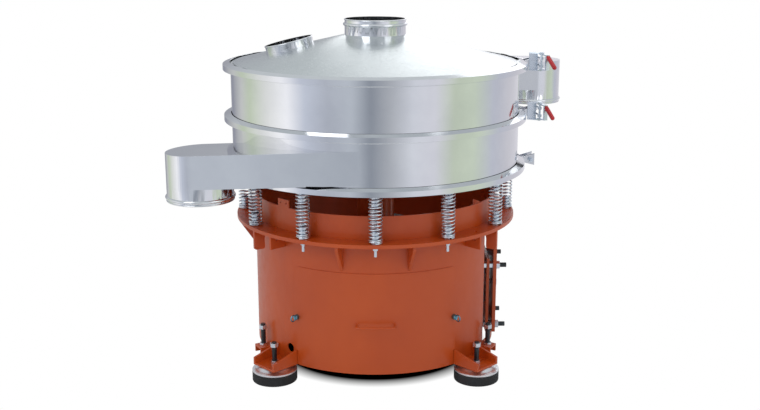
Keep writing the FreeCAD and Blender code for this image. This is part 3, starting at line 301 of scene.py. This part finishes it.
def makeSprings():
    values = springValues
    low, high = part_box("support_springs")
    bottom, top = Vector(low).z, Vector(high).z
    wire = values["wire"]
    meanRadius = values["outerRadius"] - wire / 2
    closedPitch = wire + values["closedGap"]
    activePitch = (top - bottom - wire - 2 * values["closedTurns"] * closedPitch) / values["activeTurns"]
    bm = bmesh.new()
    section = bmesh.ops.create_circle(bm, cap_ends=False, segments=values["wireSides"], radius=wire / 2)
    turn = Matrix.Translation((meanRadius, 0, bottom + wire / 2)) @ Matrix.Rotation(math.radians(90), 4, "X")
    bmesh.ops.transform(bm, matrix=turn, verts=section["verts"])
    ring = bm.verts[:] + bm.edges[:]
    bm.faces.new(section["verts"])
    for turns, pitch in ((values["closedTurns"], closedPitch), (values["activeTurns"], activePitch),
                         (values["closedTurns"], closedPitch)):
        steps = int(round(turns * values["stepsPerTurn"]))
        swept = bmesh.ops.spin(bm, geom=ring, cent=(0, 0, 0), axis=(0, 0, 1), angle=2 * math.pi * turns,
                               steps=steps, dvec=(0, 0, pitch / values["stepsPerTurn"]), use_duplicate=False)
        ring = [item for item in swept["geom_last"] if not isinstance(item, bmesh.types.BMFace)]
    bm.faces.new([item for item in ring if isinstance(item, bmesh.types.BMVert)])
    bmesh.ops.recalc_face_normals(bm, faces=bm.faces)
    bmesh.ops.translate(bm, verts=bm.verts, vec=(values["circleRadius"], 0, 0))
    single = bm.verts[:] + bm.edges[:] + bm.faces[:]
    for index in range(1, values["count"]):
        copied = bmesh.ops.duplicate(bm, geom=single)["geom"]
        bmesh.ops.rotate(bm, verts=[item for item in copied if isinstance(item, bmesh.types.BMVert)],
                         cent=(0, 0, 0), matrix=Matrix.Rotation(2 * math.pi * index / values["count"], 3, "Z"))
    springs = finishMesh(bm, "springCoils", finishes["spring_wire"], values["sharpAngle"])
    standFor(springs, "support_springs")


makeSprings()
print("springs made")


# the cone shades as one true surface
coneValues = {"reach": 0.589, "rimLevel": 1.250, "neckRadius": 0.127, "neckLevel": 1.358, "slopeTolerance": 0.02}


def smoothCone():
    # every normal of the outer slope is set from the slope itself
    values = coneValues
    piece = weldedCopy("coverCone", "cover_cone", coneSteel, 0.0)
    mesh = piece.data
    rise = (values["neckLevel"] - values["rimLevel"]) / (values["reach"] - values["neckRadius"])
    slope = math.atan(rise)
    normals = [Vector(corner.vector) for corner in mesh.corner_normals]
    for face in mesh.polygons:
        if abs(face.normal.z - math.cos(slope)) > values["slopeTolerance"]:
            continue
        for index in face.loop_indices:
            at = mesh.vertices[mesh.loops[index].vertex_index].co
            out = Vector((at.x, at.y, 0)).normalized()
            normals[index] = out * math.sin(slope) + Vector((0, 0, math.cos(slope)))
    mesh.normals_split_custom_set(normals)


smoothCone()
print("cone made")


# every other CAD node keeps its shape, with broken edges
remade = ("support_springs", "cover_cone")
edgeWidths = {"base_shell": 0.001, "base_flange": 0.0015, "foot_pads": 0.004, "foot_dishes": 0.0015}
usualEdgeWidth = 0.0006
kept = [node for node in frame["nodes"] if node not in remade]
for node in kept:
    words = node.split("_")
    pieceName = words[0] + "".join(word.capitalize() for word in words[1:])
    weldedCopy(pieceName, node, finishes[slotOf[node]], edgeWidths.get(node, usualEdgeWidth))
print("nodes dressed:", len(kept))


# the inner radii fade the floor's camera glow to black inside the base: a painted shadow under the machine
stageValues = {"floorRadius": 3.4, "segments": 96, "drop": 0.0005, "floorColour": (0.86, 0.86, 0.86),
               "roughness": 0.9, "glow": 1.0, "footprint": (0.42, 0.50), "sharpAngle": 32.0}


def makeFloor():
    values = stageValues
    bm = bmesh.new()
    bmesh.ops.create_circle(bm, cap_ends=True, segments=values["segments"], radius=values["floorRadius"])
    bmesh.ops.translate(bm, verts=bm.verts, vec=(0, 0, -values["drop"]))
    material, tree, shader, coords = startMaterial("floorPaint")
    shader.inputs["Base Color"].default_value = (*values["floorColour"], 1)
    shader.inputs["Roughness"].default_value = values["roughness"]
    glow = tree.nodes.new("ShaderNodeEmission")
    path = tree.nodes.new("ShaderNodeLightPath")
    # the patch of floor inside the base gets no glow and shows black: a painted shadow under the base
    spread = tree.nodes.new("ShaderNodeVectorMath")
    spread.operation = "LENGTH"
    tree.links.new(coords.outputs["Object"], spread.inputs[0])
    glowOutsideShadow = remap(tree, spread.outputs["Value"], 0.0, values["glow"], values["footprint"])
    tree.links.new(glowOutsideShadow, glow.inputs["Strength"])
    mix = tree.nodes.new("ShaderNodeMixShader")
    tree.links.new(path.outputs["Is Camera Ray"], mix.inputs[0])
    tree.links.new(shader.outputs[0], mix.inputs[1])
    tree.links.new(glow.outputs[0], mix.inputs[2])
    tree.links.new(mix.outputs[0], tree.nodes["Material Output"].inputs["Surface"])
    finishMesh(bm, "floorDisc", material, values["sharpAngle"])


# brightness of the studio wall round the machine, by azimuth share from behind-left round the front
wallStops = [(0.00, (0.42, 0.43, 0.46)), (0.07, (0.30, 0.31, 0.37)), (0.14, (0.62, 0.63, 0.62)),
             (0.18, (0.62, 0.70, 0.54)), (0.24, (0.86, 0.87, 0.84)), (0.30, (1.05, 1.05, 1.08)),
             (0.345, (0.62, 0.66, 0.76)), (0.40, (0.50, 0.53, 0.60)), (0.45, (0.56, 0.60, 0.66)),
             (0.49, (0.30, 0.33, 0.38)), (0.53, (0.48, 0.50, 0.54)), (0.58, (0.74, 0.76, 0.82)),
             (0.63, (0.76, 0.76, 0.82)), (0.675, (0.60, 0.67, 0.54)), (0.73, (0.66, 0.74, 0.60)),
             (0.79, (0.58, 0.60, 0.68)), (0.86, (0.66, 0.65, 0.70)), (0.93, (0.74, 0.73, 0.78))]


worldValues = {"skyColour": (0.60, 0.64, 0.66), "skySpan": (0.12, 0.42), "backdrop": (1, 1, 1), "strength": 1.0}


def makeWorld():
    values = worldValues
    world = bpy.data.worlds.new("studioWorld")
    bpy.context.scene.world = world
    world.use_nodes = True
    tree = world.node_tree
    background = tree.nodes["Background"]
    coords = tree.nodes.new("ShaderNodeTexCoord")
    split = tree.nodes.new("ShaderNodeSeparateXYZ")
    tree.links.new(coords.outputs["Generated"], split.inputs[0])
    azimuth = tree.nodes.new("ShaderNodeMath")
    azimuth.operation = "ARCTAN2"
    flip = tree.nodes.new("ShaderNodeMath")
    flip.operation = "MULTIPLY"
    flip.inputs[1].default_value = -1.0
    tree.links.new(split.outputs["Y"], flip.inputs[0])
    tree.links.new(split.outputs["X"], azimuth.inputs[0])
    tree.links.new(flip.outputs[0], azimuth.inputs[1])
    share = remap(tree, azimuth.outputs[0], 0.0, 1.0, (-math.pi, math.pi))
    ramp = tree.nodes.new("ShaderNodeValToRGB")
    ramp.color_ramp.interpolation = "LINEAR"
    while len(ramp.color_ramp.elements) < len(wallStops):
        ramp.color_ramp.elements.new(0.5)
    for element, (position, colour) in zip(ramp.color_ramp.elements, wallStops):
        element.position = position
        element.color = (*colour, 1)
    tree.links.new(share, ramp.inputs[0])
    height = remap(tree, split.outputs["Z"], 0.0, 1.0, values["skySpan"])
    sky = tree.nodes.new("ShaderNodeMix")
    sky.data_type = "RGBA"
    sky.inputs["B"].default_value = (*values["skyColour"], 1)
    tree.links.new(height, sky.inputs["Factor"])
    tree.links.new(ramp.outputs[0], sky.inputs["A"])
    path = tree.nodes.new("ShaderNodeLightPath")
    seen = tree.nodes.new("ShaderNodeMix")
    seen.data_type = "RGBA"
    seen.inputs["B"].default_value = (*values["backdrop"], 1)
    tree.links.new(path.outputs["Is Camera Ray"], seen.inputs["Factor"])
    tree.links.new(sky.outputs["Result"], seen.inputs["A"])
    tree.links.new(seen.outputs["Result"], background.inputs["Color"])
    background.inputs["Strength"].default_value = values["strength"]


lampValues = {
    "keyLamp": {"at": (-2.6, -3.2, 3.4), "size": 2.6, "power": 30.0},
    "fillLamp": {"at": (3.2, -2.8, 2.4), "size": 2.6, "power": 16.0},
    "topLamp": {"at": (0.3, 0.6, 4.2), "size": 2.8, "power": 12.0},
    "backLamp": {"at": (0.5, 3.6, 2.6), "size": 2.4, "power": 14.0},
}


lampAim = (0.0, 0.0, 0.6)


def makeLamps():
    aim = Vector(lampAim)
    for name, values in lampValues.items():
        light = bpy.data.lights.new(name, "AREA")
        light.shape = "DISK"
        light.size = values["size"]
        light.energy = values["power"]
        lamp = bpy.data.objects.new(name, light)
        lamp.location = values["at"]
        lamp.rotation_euler = (aim - lamp.location).to_track_quat("-Z", "Y").to_euler()
        collection.objects.link(lamp)


cameraValues = {"at": (0.0, -4.4337, 1.7310), "pitchDown": 13.984, "yawRight": 0.255, "lens": 50.15,
                "sensor": 36.0, "clipEnd": 100.0}


def makeCamera():
    camera = bpy.data.cameras.new("studioCamera")
    camera.lens = cameraValues["lens"]
    camera.sensor_width = cameraValues["sensor"]
    camera.clip_end = cameraValues["clipEnd"]
    holder = bpy.data.objects.new("studioCamera", camera)
    holder.location = cameraValues["at"]
    tilt = math.radians(90 - cameraValues["pitchDown"])
    holder.rotation_euler = (tilt, 0, -math.radians(cameraValues["yawRight"]))
    collection.objects.link(holder)
    bpy.context.scene.camera = holder


makeFloor()
makeWorld()
makeLamps()
makeCamera()
bpy.context.scene.view_settings.view_transform = "Standard"
print("stage, light and camera set")

bpy.context.view_layer.update()
